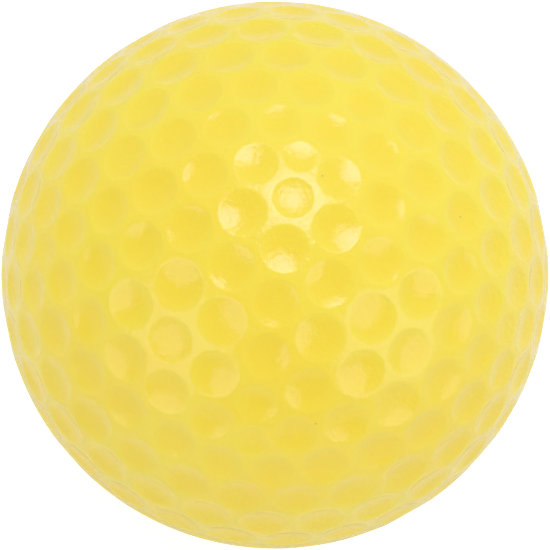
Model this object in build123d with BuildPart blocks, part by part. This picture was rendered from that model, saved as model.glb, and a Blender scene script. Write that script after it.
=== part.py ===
from build123d import *
from itertools import combinations
from math import acos, asin, atan2, cos, degrees, radians, sin
import os

# A golf ball: a solid rubber core, a mantle around it, and a dimpled cover moulded as two half shells.
# Millimetres and degrees. The origin is the ball's centre, and +Z goes through one of the twelve small dimples.

# ---- Driving dimensions ----
BALL_DIAMETER = 42.67
MANTLE_DIAMETER = 39.40
CORE_DIAMETER = 36.40

# The pattern is an icosahedron's: each of its twenty triangles has seven dimples along every edge.
STEPS_PER_EDGE = 6
# The turn about +Z of the upper ring of five corners.
PATTERN_TURN = -15.0
# A dimple is named by its steps from the triangle's three corners. Its rim is a half angle at the centre.
RIM_HALF_ANGLE = {
    (6, 0, 0): 3.50,
    (5, 1, 0): 4.60,
    (4, 2, 0): 5.00,
    (3, 3, 0): 5.25,
    (4, 1, 1): 5.10,
    (3, 2, 1): 5.20,
    (2, 2, 2): 5.50,
}
# The small corner dimples leave room, so their neighbours are pulled towards them by these angles.
PULL_TO_CORNER = {(5, 1, 0): 1.25, (4, 2, 0): 0.85, (4, 1, 1): 0.45}
# Every dimple is a shallow cup of this one radius, so the wider ones are also deeper.
CUP_RADIUS = 6.6
# A cutter is a little wider than its rim and stands this far out of the ball.
CUTTER_MARGIN_ANGLE = 0.12
CUTTER_HEIGHT = 0.04
CUTTER_DEPTH = 1.0

# Dimples closer to the equator than this lie on it.
EQUATOR_BAND = 3.0
TOOL_RADIUS = 30.0
NEAR_ZERO = 1e-6

ball_radius = BALL_DIAMETER / 2
mantle_radius = MANTLE_DIAMETER / 2
core_radius = CORE_DIAMETER / 2
corner_angle = acos(1 / 5**0.5)


# ---- The dimple pattern ----
def polar(angle_from_pole, turn):
    """The unit vector at an angle from +Z, turned about it, both in radians."""
    return Vector(sin(angle_from_pole) * cos(turn), sin(angle_from_pole) * sin(turn), cos(angle_from_pole))


def icosahedron_corners():
    """Twelve unit vectors: the two poles, an upper ring of five, and the lower ring opposite it."""
    corners = [Vector(0, 0, 1), Vector(0, 0, -1)]
    for step in range(5):
        upper = polar(corner_angle, radians(PATTERN_TURN + 72 * step))
        corners.append(upper)
        corners.append(upper * -1)
    return corners


def icosahedron_triangles():
    """Each set of three corners that are neighbours of one another."""
    return [
        trio
        for trio in combinations(icosahedron_corners(), 3)
        if all(abs(a.dot(b) - cos(corner_angle)) < NEAR_ZERO for a, b in combinations(trio, 2))
    ]


def pulled(direction, corner, angle):
    """The direction moved by an angle, in degrees, along the great circle to a corner."""
    sideways = (corner - direction * direction.dot(corner)).normalized()
    return direction * cos(radians(angle)) + sideways * sin(radians(angle))


def dimple_directions():
    """Every dimple as its kind and its unit vector from the centre. Triangles share those on their edges."""
    found = []
    for trio in icosahedron_triangles():
        for first in range(STEPS_PER_EDGE + 1):
            for second in range(STEPS_PER_EDGE + 1 - first):
                steps = (first, second, STEPS_PER_EDGE - first - second)
                kind = tuple(sorted(steps, reverse=True))
                direction = Vector(0, 0, 0)
                for corner, count in zip(trio, steps):
                    direction += corner * sin(corner_angle * count / STEPS_PER_EDGE)
                direction = direction.normalized()
                if kind in PULL_TO_CORNER:
                    nearest_corner = trio[steps.index(max(steps))]
                    direction = pulled(direction, nearest_corner, PULL_TO_CORNER[kind])
                if all((direction - other).length > NEAR_ZERO for _, other in found):
                    found.append((kind, direction))
    return found


def latitude(direction):
    return degrees(asin(direction.Z))


def azimuth(direction):
    return degrees(atan2(direction.Y, direction.X)) % 360


dimples = dimple_directions()
equator_dimples = sorted((d for d in dimples if abs(latitude(d[1])) < EQUATOR_BAND), key=lambda d: azimuth(d[1]))
# Each half shell keeps every second dimple on the equator whole.
upper_dimples = [d for d in dimples if latitude(d[1]) >= EQUATOR_BAND] + equator_dimples[0::2]
lower_dimples = [d for d in dimples if latitude(d[1]) <= -EQUATOR_BAND] + equator_dimples[1::2]


# ---- The parting line ----
def land_corner(first, second, third):
    """The direction equally far from three neighbouring dimples, where their lands meet."""
    middle = (second - first).cross(third - first).normalized()
    return middle if middle.dot(first) > 0 else middle * -1


def nearest_dimples(direction, side, count):
    """The dimples nearest to a direction, above the equator for side 1 and below it for side -1."""
    group = [other for _, other in dimples if latitude(other) * side > EQUATOR_BAND]
    return sorted(group, key=lambda other: (other - direction).length)[:count]


def parting_path():
    """Corners of the lands that the line follows, under one equator dimple and over the next."""
    path = []
    ring = [direction for _, direction in equator_dimples]
    for index, dimple in enumerate(ring):
        following = ring[(index + 1) % len(ring)]
        between = (dimple + following).normalized()
        side = -1 if index % 2 == 0 else 1
        path.append(land_corner(dimple, *nearest_dimples(dimple, side, 2)))
        path.append(land_corner(dimple, following, *nearest_dimples(between, side, 1)))
        path.append(land_corner(dimple, following, *nearest_dimples(between, -side, 1)))
    return path


def parting_solid():
    """The space of the lower half shell: flat faces from the centre out to the path, closed far below."""
    centre = Vector(0, 0, 0)
    bottom = Vector(0, 0, -2 * TOOL_RADIUS)
    rim = [direction * TOOL_RADIUS for direction in parting_path()]
    faces = []
    for start, end in zip(rim, rim[1:] + rim[:1]):
        faces.append(Face(Wire.make_polygon([centre, start, end])))
        faces.append(Face(Wire.make_polygon([bottom, end, start])))
    return Solid(Shell(faces))


parting = parting_solid()


# ---- Dimple cutters ----
def cup_cutter(half_angle):
    """A lens around +Z, sunk so that its cup meets the ball's surface in the rim."""
    rim_radius = ball_radius * sin(radians(half_angle))
    rim_height = ball_radius * cos(radians(half_angle))
    cup_centre = rim_height + (CUP_RADIUS**2 - rim_radius**2) ** 0.5
    side_radius = ball_radius * sin(radians(half_angle + CUTTER_MARGIN_ANGLE))
    with BuildPart() as cutter:
        with Locations((0, 0, cup_centre)):
            Sphere(CUP_RADIUS)
        with Locations((0, 0, ball_radius + CUTTER_HEIGHT)):
            Cylinder(
                side_radius,
                CUTTER_DEPTH + CUTTER_HEIGHT,
                align=(Align.CENTER, Align.CENTER, Align.MAX),
                mode=Mode.INTERSECT,
            )
    return cutter.part


cutters = {half_angle: cup_cutter(half_angle) for half_angle in sorted(set(RIM_HALF_ANGLE.values()))}


def cut_dimples(group):
    """Cuts a group's dimples into the part being built, one rim size at a time."""
    for half_angle, cutter in cutters.items():
        aims = [direction for kind, direction in group if RIM_HALF_ANGLE[kind] == half_angle]
        with Locations(*[Plane(origin=(0, 0, 0), z_dir=aim).location for aim in aims]):
            add(cutter, mode=Mode.SUBTRACT)


# ---- Core ----
with BuildPart() as core:
    Sphere(core_radius)
core.part.label = "core"

# ---- Mantle ----
with BuildPart() as mantle:
    Sphere(mantle_radius)
    Sphere(core_radius, mode=Mode.SUBTRACT)
mantle.part.label = "mantle"

# ---- Upper half of the cover ----
with BuildPart() as cover_half_upper:
    Sphere(ball_radius)
    Sphere(mantle_radius, mode=Mode.SUBTRACT)
    add(parting, mode=Mode.SUBTRACT)
    cut_dimples(upper_dimples)
cover_half_upper.part.label = "cover_half_upper"

# ---- Lower half of the cover ----
with BuildPart() as cover_half_lower:
    Sphere(ball_radius)
    Sphere(mantle_radius, mode=Mode.SUBTRACT)
    add(parting, mode=Mode.INTERSECT)
    cut_dimples(lower_dimples)
cover_half_lower.part.label = "cover_half_lower"

# ---- Output ----
os.makedirs("parts", exist_ok=True)
export_step(core.part, "parts/core.step")
export_step(mantle.part, "parts/mantle.step")
export_step(cover_half_upper.part, "parts/cover_half_upper.step")
export_step(cover_half_lower.part, "parts/cover_half_lower.step")

print("dimples", len(dimples), "of which on the equator", len(equator_dimples))
for piece in (core.part, mantle.part, cover_half_upper.part, cover_half_lower.part):
    print(piece.label, "solids", len(piece.solids()), "mm3", round(piece.volume, 1))
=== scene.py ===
from itertools import combinations
from math import acos, asin, cos, pi, radians, sin, tan

import bpy
import numpy as np
from mathutils import Matrix, Vector


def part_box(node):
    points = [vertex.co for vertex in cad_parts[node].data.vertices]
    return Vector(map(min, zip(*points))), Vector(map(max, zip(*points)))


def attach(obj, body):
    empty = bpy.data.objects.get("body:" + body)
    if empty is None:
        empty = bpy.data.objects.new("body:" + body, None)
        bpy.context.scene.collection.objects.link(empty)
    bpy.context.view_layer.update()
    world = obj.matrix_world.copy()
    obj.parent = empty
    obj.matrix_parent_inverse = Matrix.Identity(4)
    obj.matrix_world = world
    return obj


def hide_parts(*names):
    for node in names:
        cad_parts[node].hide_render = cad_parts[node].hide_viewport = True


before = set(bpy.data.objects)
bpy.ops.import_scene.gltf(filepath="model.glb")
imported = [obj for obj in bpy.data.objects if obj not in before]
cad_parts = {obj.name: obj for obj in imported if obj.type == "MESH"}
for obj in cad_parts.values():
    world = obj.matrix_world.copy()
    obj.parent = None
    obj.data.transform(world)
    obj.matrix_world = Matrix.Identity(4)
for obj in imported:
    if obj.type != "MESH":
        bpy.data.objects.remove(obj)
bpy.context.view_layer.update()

# A yellow golf ball on a white floor. Metres and radians, unless a comment says otherwise, in the frame of
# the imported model: the origin is the ball's centre and +Z goes through one of its twelve small dimples.

MM = 0.001
scene = bpy.context.scene

# ---- The ball, as in part.py ----
BALL_RADIUS = 21.335 * MM
MANTLE_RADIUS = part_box("mantle")[1].z
# The pattern is an icosahedron's: each of its twenty triangles has seven dimples along every edge.
STEPS_PER_EDGE = 6
# The turn about +Z of the upper ring of five corners, in degrees.
PATTERN_TURN = -15.0
# A dimple is named by its steps from the triangle's three corners. Its rim is a half angle, in degrees.
RIM_HALF_ANGLE = {
    (6, 0, 0): 3.50,
    (5, 1, 0): 4.60,
    (4, 2, 0): 5.00,
    (3, 3, 0): 5.25,
    (4, 1, 1): 5.10,
    (3, 2, 1): 5.20,
    (2, 2, 2): 5.50,
}
# The small corner dimples leave room, so their neighbours are pulled towards them by these angles, in
# degrees.
PULL_TO_CORNER = {(5, 1, 0): 1.25, (4, 2, 0): 0.85, (4, 1, 1): 0.45}
# Every dimple is a shallow cup of this one radius, so the wider ones are also deeper.
CUP_RADIUS = 6.6 * MM
# Dimples closer to the equator than this, in degrees, lie on it.
EQUATOR_BAND = 3.0
NEAR_ZERO = 1e-6

# ---- What only the looks need ----
# The rim is rounded over this distance on either side of it.
RIM_SOFTNESS = 0.15 * MM
# The two points that give a cup's slope at its rim lie this angle to either side of it.
SLOPE_STEP = 1e-4
# A cup's formula is used out to this many times its rim's angle. The land beyond is untouched by the cup.
CUP_REACH = 2
# Each side of a dimple's patch, which has five or six, is divided into this many.
STEPS_PER_SIDE = 6
# Rings between the patch's border and the rim, as shares of that width, and from the rim to the middle.
LAND_RINGS = (0.65, 0.40, 0.18)
CUP_RINGS = (1.0, 0.965, 0.93, 0.87, 0.76, 0.62, 0.46, 0.30, 0.15)
# The same for the patch of plain inner wall under it, from its border to the middle.
INNER_RINGS = (0.55,)
# A direction whose Z is past this is too close to +Z or -Z for an axis across it to be made from them.
NEARLY_VERTICAL = 0.9


# ---- The dimple pattern ----
def unit(v):
    return v / np.linalg.norm(v, axis=-1, keepdims=True)


def icosahedron_corners():
    """Twelve unit vectors, and the angle between two that are neighbours."""
    corner_angle = acos(1 / 5**0.5)
    corners = [np.array((0.0, 0.0, 1.0)), np.array((0.0, 0.0, -1.0))]
    for step in range(5):
        turn = radians(PATTERN_TURN + 72 * step)
        upper = np.array((sin(corner_angle) * cos(turn), sin(corner_angle) * sin(turn), cos(corner_angle)))
        corners += [upper, -upper]
    return corners, corner_angle


def pulled(direction, corner, angle):
    """The direction moved by an angle, in degrees, along the great circle to a corner."""
    sideways = unit(corner - direction * direction.dot(corner))
    return direction * cos(radians(angle)) + sideways * sin(radians(angle))


def dimple_pattern():
    """Unit vectors to the dimples, their rims' half angles, and every three that are neighbours."""
    corners, corner_angle = icosahedron_corners()
    directions, rims, threes = [], [], []

    def index_of(direction, kind):
        for index, other in enumerate(directions):
            if abs(direction - other).max() < NEAR_ZERO:
                return index
        directions.append(direction)
        rims.append(radians(RIM_HALF_ANGLE[kind]))
        return len(directions) - 1

    for trio in combinations(corners, 3):
        if any(abs(a.dot(b) - cos(corner_angle)) > NEAR_ZERO for a, b in combinations(trio, 2)):
            continue
        grid = {}
        for first in range(STEPS_PER_EDGE + 1):
            for second in range(STEPS_PER_EDGE + 1 - first):
                steps = (first, second, STEPS_PER_EDGE - first - second)
                kind = tuple(sorted(steps, reverse=True))
                shares = [sin(corner_angle * count / STEPS_PER_EDGE) for count in steps]
                direction = unit(sum(share * corner for share, corner in zip(shares, trio)))
                if kind in PULL_TO_CORNER:
                    nearest = trio[steps.index(max(steps))]
                    direction = pulled(direction, nearest, PULL_TO_CORNER[kind])
                grid[first, second] = index_of(direction, kind)
        for first, second in grid:
            here, over = grid[first, second], first + second
            if over < STEPS_PER_EDGE:
                beside = grid[first + 1, second], grid[first, second + 1]
                threes.append((here, *beside))
            if over < STEPS_PER_EDGE - 1:
                threes.append((grid[first + 1, second + 1], *beside))
    return np.array(directions), np.array(rims), threes


directions, rims, threes = dimple_pattern()
latitudes = np.degrees(np.arcsin(directions[:, 2]))
turns = np.degrees(np.arctan2(directions[:, 1], directions[:, 0])) % 360
on_equator = sorted(np.flatnonzero(abs(latitudes) < EQUATOR_BAND), key=lambda index: turns[index])
# The half shells share the dimples on the equator in turn, as they do in the CAD.
in_upper = latitudes >= EQUATOR_BAND
in_upper[on_equator[0::2]] = True

# A patch's corners are where three neighbours' lands meet, midway between their rims.
poles = directions / np.cos(rims)[:, None]
land_corners = []
for a, b, c in threes:
    corner = unit(np.cross(poles[b] - poles[a], poles[c] - poles[a]))
    land_corners.append(corner if corner.dot(directions[a]) > 0 else -corner)
corners_of = [
    [index for index, three in enumerate(threes) if dimple in three] for dimple in range(len(directions))
]
neighbours_of = [sorted({other for index in around for other in threes[index]}) for around in corners_of]


# ---- The dimpled surface ----
def cup_depth(angle, rim):
    """How far the cup lies under the ball's surface at an angle from its middle; negative past the rim."""
    centre = BALL_RADIUS * np.cos(rim) + np.sqrt(CUP_RADIUS**2 - (BALL_RADIUS * np.sin(rim)) ** 2)
    reach = np.clip(CUP_RADIUS**2 - (centre * np.sin(angle)) ** 2, 0, None)
    return BALL_RADIUS - (centre * np.cos(angle) - np.sqrt(reach))


def rounded_depth(angle, rim):
    """The same, brought to nothing smoothly across the rim."""
    fall = cup_depth(rim - SLOPE_STEP, rim) - cup_depth(rim + SLOPE_STEP, rim)
    softness = fall / (2 * SLOPE_STEP * BALL_RADIUS) * RIM_SOFTNESS
    last = CUP_REACH * rim
    depth = np.where(angle < last, cup_depth(np.minimum(angle, last), rim), -softness)
    blended = (depth + softness) ** 2 / (4 * softness)
    return np.where(depth > softness, depth, np.where(depth < -softness, 0.0, blended))


def depth_at(points, near):
    """The depth under the ball's surface at unit vectors, from the dimples listed in near."""
    total = np.zeros(len(points))
    for dimple in near:
        angle = np.arccos(np.clip(points @ directions[dimple], -1, 1))
        total += rounded_depth(angle, rims[dimple])
    return total


# ---- The half shells ----
def side_key(start, end):
    return min(start, end), max(start, end)


def slerp(a, b, shares):
    """Unit vectors at these shares of the way from a to b."""
    angle = acos(max(-1.0, min(1.0, float(a.dot(b)))))
    return (np.sin((1 - shares) * angle) * a + np.sin(shares * angle) * b) / sin(angle)


def around_patch(dimple):
    """The dimple's patch corners, anticlockwise seen from outside, and two axes across it."""
    axis = directions[dimple]
    side = unit(np.cross(axis, (0.0, 0.0, 1.0) if abs(axis[2]) < NEARLY_VERTICAL else (1.0, 0.0, 0.0)))
    up = np.cross(axis, side)
    ordered = sorted(
        corners_of[dimple],
        key=lambda index: np.arctan2(land_corners[index].dot(up), land_corners[index].dot(side)),
    )
    return ordered, side, up


# Points along the patches' sides, between their corners, each made once for the two patches that share them.
between_shares = (np.arange(1, STEPS_PER_SIDE) / STEPS_PER_SIDE)[:, None]
sides = {}
for dimple in range(len(directions)):
    ordered, _, _ = around_patch(dimple)
    for start, end in zip(ordered, ordered[1:] + ordered[:1]):
        first, second = side_key(start, end)
        if (first, second) not in sides:
            points = slerp(land_corners[first], land_corners[second], between_shares)
            sides[first, second] = points, depth_at(points, neighbours_of[dimple])
corner_depths = [float(depth_at(corner[None], three)[0]) for corner, three in zip(land_corners, threes)]


class Shell:
    """One half of the cover as a closed mesh: outer wall, inner wall and parting faces."""

    def __init__(self):
        self.points = []
        self.depths = []
        self.faces = []
        self.made = {}
        self.parting = []

    def add(self, points, radii, depths):
        """Adds vertices and returns their numbers."""
        first = len(self.points)
        self.points += (points * np.reshape(radii, (-1, 1))).tolist()
        self.depths += list(depths)
        return list(range(first, len(self.points)))

    def add_face(self, corners, outward):
        """Adds a face, given anticlockwise as seen from outside the ball, and turned over if not outward."""
        self.faces.append(corners if outward else corners[::-1])

    def pairs(self, key, points, depths):
        """Outer vertices with the inner ones under them, made once for each key."""
        if key not in self.made:
            outer = self.add(points, BALL_RADIUS - depths, depths)
            inner = self.add(points, np.full(len(points), MANTLE_RADIUS), np.zeros(len(points)))
            self.made[key] = list(zip(outer, inner))
        return self.made[key]

    def side(self, start, end):
        """The vertices along a patch's side, its two corners included."""
        first, second = side_key(start, end)
        run = []
        for corner in (first, second):
            depth = np.array([corner_depths[corner]])
            run.append(self.pairs(corner, land_corners[corner][None], depth)[0])
        run[1:1] = self.pairs((first, second), *sides[first, second])
        return run if start == first else run[::-1]

    def patch(self, dimple):
        """One dimple with its land, out to midway between its rim and its neighbours'."""
        ordered, side, up = around_patch(dimple)
        axis = directions[dimple]
        outline, outline_points = [], []
        for start, end in zip(ordered, ordered[1:] + ordered[:1]):
            run = self.side(start, end)
            outline += run[:-1]
            key = side_key(start, end)
            points = sides[key][0] if start == key[0] else sides[key][0][::-1]
            outline_points += [land_corners[start][None], points]
            if len({bool(in_upper[other]) for other in set(threes[start]) & set(threes[end])}) == 2:
                self.parting.append(run)
        outline_points = np.concatenate(outline_points)
        turn = np.arctan2(outline_points @ up, outline_points @ side)[:, None]
        reach = np.arccos(np.clip(outline_points @ axis, -1, 1))
        across = np.cos(turn) * side + np.sin(turn) * up
        rim = rims[dimple]
        outer, inner = zip(*outline)
        rows = [rim + share * (reach - rim) for share in LAND_RINGS]
        rows += [np.full(len(reach), rim * share) for share in CUP_RINGS]
        self.fill(outer, rows, across, axis, neighbours_of[dimple], BALL_RADIUS)
        rows = [reach * share for share in INNER_RINGS]
        self.fill(inner, rows, across, axis, [], MANTLE_RADIUS)

    def fill(self, outline, rows, across, axis, near, radius):
        """Rings of quads from the outline in, and a fan of triangles at the middle."""
        rings = [np.cos(row)[:, None] * axis + np.sin(row)[:, None] * across for row in rows]
        points = np.concatenate([*rings, axis[None]])
        depths = depth_at(points, near)
        numbers = self.add(points, radius - depths, depths)
        count = len(outline)
        outward = radius == BALL_RADIUS
        last = outline
        for row in range(len(rows)):
            this = numbers[row * count : (row + 1) * count]
            for here in range(count):
                following = (here + 1) % count
                self.add_face((last[here], last[following], this[following], this[here]), outward)
            last = this
        for here in range(count):
            self.add_face((last[here], last[(here + 1) % count], numbers[-1]), outward)

    def close(self):
        """Adds the parting faces, from the outer wall to the inner one, and returns their edges."""
        edges = set()
        for run in self.parting:
            for (top, low), (next_top, next_low) in zip(run, run[1:]):
                self.faces.append((top, low, next_low, next_top))
                edges |= {side_key(top, next_top), side_key(low, next_low)}
        return edges


def cover_half(name, chosen):
    """The piece made of the chosen dimples' patches, which also carries each point's depth in millimetres."""
    shell = Shell()
    for dimple in np.flatnonzero(chosen):
        shell.patch(dimple)
    sharp = shell.close()
    mesh = bpy.data.meshes.new(name)
    mesh.from_pydata(shell.points, [], shell.faces)
    mesh.polygons.foreach_set("use_smooth", [True] * len(mesh.polygons))
    for edge in mesh.edges:
        edge.use_edge_sharp = side_key(*edge.vertices) in sharp
    depth = mesh.attributes.new("dimple_depth", "FLOAT", "POINT")
    depth.data.foreach_set("value", np.array(shell.depths, np.float32) / MM)
    made = bpy.data.objects.new(name, mesh)
    scene.collection.objects.link(made)
    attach(made, "root")
    return made


upper = cover_half("cover_upper", in_upper)
lower = cover_half("cover_lower", ~in_upper)
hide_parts("cover_half_upper")
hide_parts("cover_half_lower")


# ---- Node helpers ----
def new_material(name):
    material = bpy.data.materials.new(name)
    material.use_nodes = True
    nodes = material.node_tree.nodes
    return material, nodes, material.node_tree.links, nodes["Principled BSDF"]


def noise(nodes, links, per_metre, detail, roughness=0.5):
    """Noise over the object's own coordinates, whose largest waves are this many to the metre."""
    where = nodes.new("ShaderNodeTexCoord")
    node = nodes.new("ShaderNodeTexNoise")
    node.inputs["Scale"].default_value = per_metre
    node.inputs["Detail"].default_value = detail
    node.inputs["Roughness"].default_value = roughness
    links.new(where.outputs["Object"], node.inputs["Vector"])
    return node.outputs["Fac"]


def ranged(nodes, links, source, low, high, to_low=0.0, to_high=1.0):
    """The source's values between low and high, brought smoothly to those between to_low and to_high."""
    node = nodes.new("ShaderNodeMapRange")
    node.interpolation_type = "SMOOTHSTEP"
    node.inputs["From Min"].default_value = low
    node.inputs["From Max"].default_value = high
    node.inputs["To Min"].default_value = to_low
    node.inputs["To Max"].default_value = to_high
    links.new(source, node.inputs["Value"])
    return node.outputs["Result"]


def mixed(nodes, links, factor, first, second):
    """A colour between first and second, each a colour or a socket."""
    node = nodes.new("ShaderNodeMix")
    node.data_type = "RGBA"
    links.new(factor, node.inputs["Factor"])
    for socket, value in zip((node.inputs[6], node.inputs[7]), (first, second)):
        if isinstance(value, tuple):
            socket.default_value = (*value, 1.0)
        else:
            links.new(value, socket)
    return node.outputs[2]


def combined(nodes, links, operation, first, second):
    """Two sockets' values under a Math node's operation."""
    node = nodes.new("ShaderNodeMath")
    node.operation = operation
    links.new(first, node.inputs[0])
    links.new(second, node.inputs[1])
    return node.outputs["Value"]


def seen_as(nodes, links, seen, otherwise):
    """A value for what the camera sees directly, and another for the light that falls on the ball."""
    path = nodes.new("ShaderNodeLightPath")
    return ranged(nodes, links, path.outputs["Is Camera Ray"], 0, 1, otherwise, seen)


# ---- The cover's glossy plastic ----
LAND_YELLOW = (0.934, 0.788, 0.061)
# Deeper and more orange than the lands: painted shade and painted bounced light in the dimples.
DIMPLE_SHADE_YELLOW = (0.943, 0.761, 0.045)
CLOUD_YELLOW = (0.948, 0.732, 0.041)
DIRT = (0.60, 0.48, 0.10)
# The dimples' deeper, more orange yellow is painted shade and painted bounced light inside the hollows. It is
# reached in full at this depth, in millimetres.
FULL_DIMPLE_SHADE_DEPTH = 0.30
CLOUDS_PER_METRE = 90
CLOUD_SHARE = 0.6
# A cell of this pattern has a speck at its middle if its random red is above the second of these.
SPECK_CELLS_PER_METRE = 280
SPECK_RED = (0.40, 0.42)
# A speck fades out between these distances from its middle, in cell widths.
SPECK_EDGE = (0.014, 0.034)
GLOSS_ROUGHNESS = 0.11
# Light goes a little way into the plastic, and its red the furthest.
SCATTERED_SHARE = 0.15
SCATTER_DISTANCE = 0.6 * MM
SCATTER_BY_COLOUR = (1.0, 0.62, 0.12)
# The lacquer's orange-peel texture.
WAVES_PER_METRE = 1300
WAVE_HEIGHT = 0.075 * MM
WAVE_STRENGTH = 0.8


def specks(nodes, links):
    """A factor of 1 on a few specks of dirt, about 0.2 mm across."""
    where = nodes.new("ShaderNodeTexCoord")
    cells = nodes.new("ShaderNodeTexVoronoi")
    cells.inputs["Scale"].default_value = SPECK_CELLS_PER_METRE
    links.new(where.outputs["Object"], cells.inputs["Vector"])
    parts = nodes.new("ShaderNodeSeparateColor")
    links.new(cells.outputs["Color"], parts.inputs["Color"])
    near_middle = ranged(nodes, links, cells.outputs["Distance"], *SPECK_EDGE, to_low=1.0, to_high=0.0)
    has_speck = ranged(nodes, links, parts.outputs["Red"], *SPECK_RED)
    return combined(nodes, links, "MULTIPLY", near_middle, has_speck)


def cover_material():
    material, nodes, links, shader = new_material("cover_gloss_yellow")
    depth = nodes.new("ShaderNodeAttribute")
    depth.attribute_name = "dimple_depth"
    hollow_shade = ranged(nodes, links, depth.outputs["Fac"], 0.0, FULL_DIMPLE_SHADE_DEPTH)
    clouds = noise(nodes, links, CLOUDS_PER_METRE, detail=4, roughness=0.6)
    cloudy = ranged(nodes, links, clouds, low=0.35, high=0.70, to_high=CLOUD_SHARE)
    # Towards a dimple's bottom the yellow turns deeper and more orange: painted shade and bounced light in
    # the hollows.
    colour = mixed(nodes, links, hollow_shade, LAND_YELLOW, DIMPLE_SHADE_YELLOW)
    colour = mixed(nodes, links, cloudy, colour, CLOUD_YELLOW)
    colour = mixed(nodes, links, specks(nodes, links), colour, DIRT)
    links.new(colour, shader.inputs["Base Color"])
    shader.inputs["Roughness"].default_value = GLOSS_ROUGHNESS
    shader.inputs["Subsurface Weight"].default_value = SCATTERED_SHARE
    shader.inputs["Subsurface Radius"].default_value = SCATTER_BY_COLOUR
    shader.inputs["Subsurface Scale"].default_value = SCATTER_DISTANCE
    waves = noise(nodes, links, WAVES_PER_METRE, detail=3, roughness=0.6)
    bump = nodes.new("ShaderNodeBump")
    bump.inputs["Strength"].default_value = WAVE_STRENGTH
    bump.inputs["Distance"].default_value = WAVE_HEIGHT
    links.new(waves, bump.inputs["Height"])
    links.new(bump.outputs["Normal"], shader.inputs["Normal"])
    return material


# ---- The core's rubber and the mantle's plastic, inside the cover ----
RUBBER_GREYS = (0.30, 0.34, 0.36), (0.20, 0.24, 0.27)
RUBBER_GRAINS_PER_METRE = 1500
RUBBER_ROUGHNESS = 0.75
MANTLE_WHITES = (0.80, 0.79, 0.74), (0.74, 0.73, 0.68)
MANTLE_CLOUDS_PER_METRE = 160
MANTLE_ROUGHNESS = 0.45


def rubber_material():
    material, nodes, links, shader = new_material("core_rubber_dull")
    grains = noise(nodes, links, RUBBER_GRAINS_PER_METRE, detail=3)
    grainy = ranged(nodes, links, grains, low=0.45, high=0.62)
    links.new(mixed(nodes, links, grainy, *RUBBER_GREYS), shader.inputs["Base Color"])
    shader.inputs["Roughness"].default_value = RUBBER_ROUGHNESS
    return material


def mantle_material():
    material, nodes, links, shader = new_material("mantle_satin_plastic")
    clouds = noise(nodes, links, MANTLE_CLOUDS_PER_METRE, detail=4)
    cloudy = ranged(nodes, links, clouds, low=0.35, high=0.65)
    links.new(mixed(nodes, links, cloudy, *MANTLE_WHITES), shader.inputs["Base Color"])
    shader.inputs["Roughness"].default_value = MANTLE_ROUGHNESS
    return material


cover = cover_material()
for piece in (upper, lower):
    piece.data.materials.append(cover)
for name, material in (("core", rubber_material()), ("mantle", mantle_material())):
    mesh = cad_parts[name].data
    mesh.materials.clear()
    mesh.materials.append(material)

# ---- Floor ----
FLOOR_SIDE = 8.0
FLOOR_GAP = 0.02 * MM
FLOOR_GREY = (0.70, 0.70, 0.70, 1.0)
FLOOR_ROUGHNESS = 0.9
# The camera sees the floor brighter than it lights the ball, so that it is as white as paper.
FLOOR_GLOW_SEEN = 0.68
FLOOR_GLOW = 0.17

bpy.ops.mesh.primitive_plane_add(size=FLOOR_SIDE, location=(0, 0, -BALL_RADIUS - FLOOR_GAP))
floor = bpy.context.object
floor.name = "floor"
floor_material, nodes, links, shader = new_material("floor_white")
shader.inputs["Base Color"].default_value = FLOOR_GREY
shader.inputs["Roughness"].default_value = FLOOR_ROUGHNESS
shader.inputs["Emission Color"].default_value = (1.0, 1.0, 1.0, 1.0)
links.new(seen_as(nodes, links, FLOOR_GLOW_SEEN, FLOOR_GLOW), shader.inputs["Emission Strength"])
floor.data.materials.append(floor_material)

# ---- Surroundings ----
# From the ball's front to behind it, along Y, the sky goes from dim and warm to bright and cool.
SKY_SPAN = 0.9
SKY_DIM, SKY_BRIGHT = 0.48, 0.90
SKY_WARM, SKY_COOL = (1.0, 0.965, 0.90), (0.965, 1.0, 1.0)
# The camera sees it at least this bright.
SKY_SEEN = 1.15

world = bpy.data.worlds.new("studio")
scene.world = world
world.use_nodes = True
nodes, links = world.node_tree.nodes, world.node_tree.links
background = nodes["Background"]
where = nodes.new("ShaderNodeTexCoord")
axes = nodes.new("ShaderNodeSeparateXYZ")
links.new(where.outputs["Generated"], axes.inputs["Vector"])
behind = ranged(nodes, links, axes.outputs["Y"], -SKY_SPAN, SKY_SPAN)
sky = ranged(nodes, links, behind, 0.0, 1.0, SKY_DIM, SKY_BRIGHT)
strength = combined(nodes, links, "MAXIMUM", seen_as(nodes, links, SKY_SEEN, 0.0), sky)
links.new(strength, background.inputs["Strength"])
links.new(mixed(nodes, links, behind, SKY_WARM, SKY_COOL), background.inputs["Color"])

# ---- Camera ----
AZIMUTH = radians(0.47)
ELEVATION = radians(64.0)
ROLL = radians(12.0)
CAMERA_DISTANCE = 85 * BALL_RADIUS
# The ball's outline is this share of the picture's half width.
OUTLINE_SHARE = 0.9949
CLIP_START, CLIP_END = 0.01, 20

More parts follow.
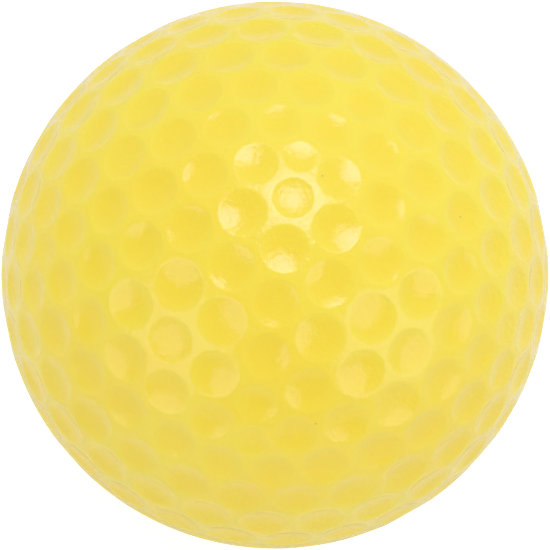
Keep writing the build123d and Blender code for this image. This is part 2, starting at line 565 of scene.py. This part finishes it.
camera = bpy.data.cameras.new("camera")
half_view = tan(asin(BALL_RADIUS / CAMERA_DISTANCE)) / OUTLINE_SHARE
camera.lens = camera.sensor_width / 2 / half_view
camera.clip_start = CLIP_START
camera.clip_end = CLIP_END
viewer = bpy.data.objects.new("camera", camera)
scene.collection.objects.link(viewer)
back = Vector((sin(AZIMUTH) * cos(ELEVATION), -cos(AZIMUTH) * cos(ELEVATION), sin(ELEVATION)))
level_right = Vector((cos(AZIMUTH), sin(AZIMUTH), 0.0))
level_up = back.cross(level_right)
right = level_right * cos(ROLL) + level_up * sin(ROLL)
up = level_up * cos(ROLL) - level_right * sin(ROLL)
facing = Matrix((right, up, back)).transposed().to_4x4()
viewer.matrix_world = Matrix.Translation(back * CAMERA_DISTANCE) @ facing
scene.camera = viewer

# ---- Lights ----
# Name, direction from the ball (to the picture's right, to its top, towards the camera), distance, half
# angle in degrees, radiance and colour. The bulb in the softbox overhead is nearer than its front, so that it
# shines through it.
LIGHTS = (
    ("overhead", (0.13, 0.53, 0.84), 0.50, 18.5, 2.65, (0.66, 0.60, 1.0)),
    ("overhead_bulb", (0.13, 0.53, 0.84), 0.49, 12.0, 2.9, (0.52, 0.46, 1.0)),
    ("left", (-0.65, -0.40, 0.64), 0.50, 22.0, 1.60, (0.72, 0.64, 1.0)),
    ("right", (0.72, -0.41, 0.55), 0.50, 22.0, 1.60, (0.70, 0.62, 1.0)),
)
for name, parts, distance, half_angle, radiance, colour in LIGHTS:
    light = bpy.data.lights.new(name, "AREA")
    light.shape = "DISK"
    radius = distance * tan(radians(half_angle))
    light.size = 2 * radius
    # A disk's power is its radiance times pi times its area.
    light.energy = radiance * pi * pi * radius**2
    light.color = colour
    lamp = bpy.data.objects.new(name, light)
    scene.collection.objects.link(lamp)
    direction = (right * parts[0] + up * parts[1] + back * parts[2]).normalized()
    lamp.location = direction * distance
    lamp.rotation_mode = "QUATERNION"
    lamp.rotation_quaternion = direction.to_track_quat("Z", "Y")
    lamp.visible_camera = False

scene.view_settings.view_transform = "Standard"
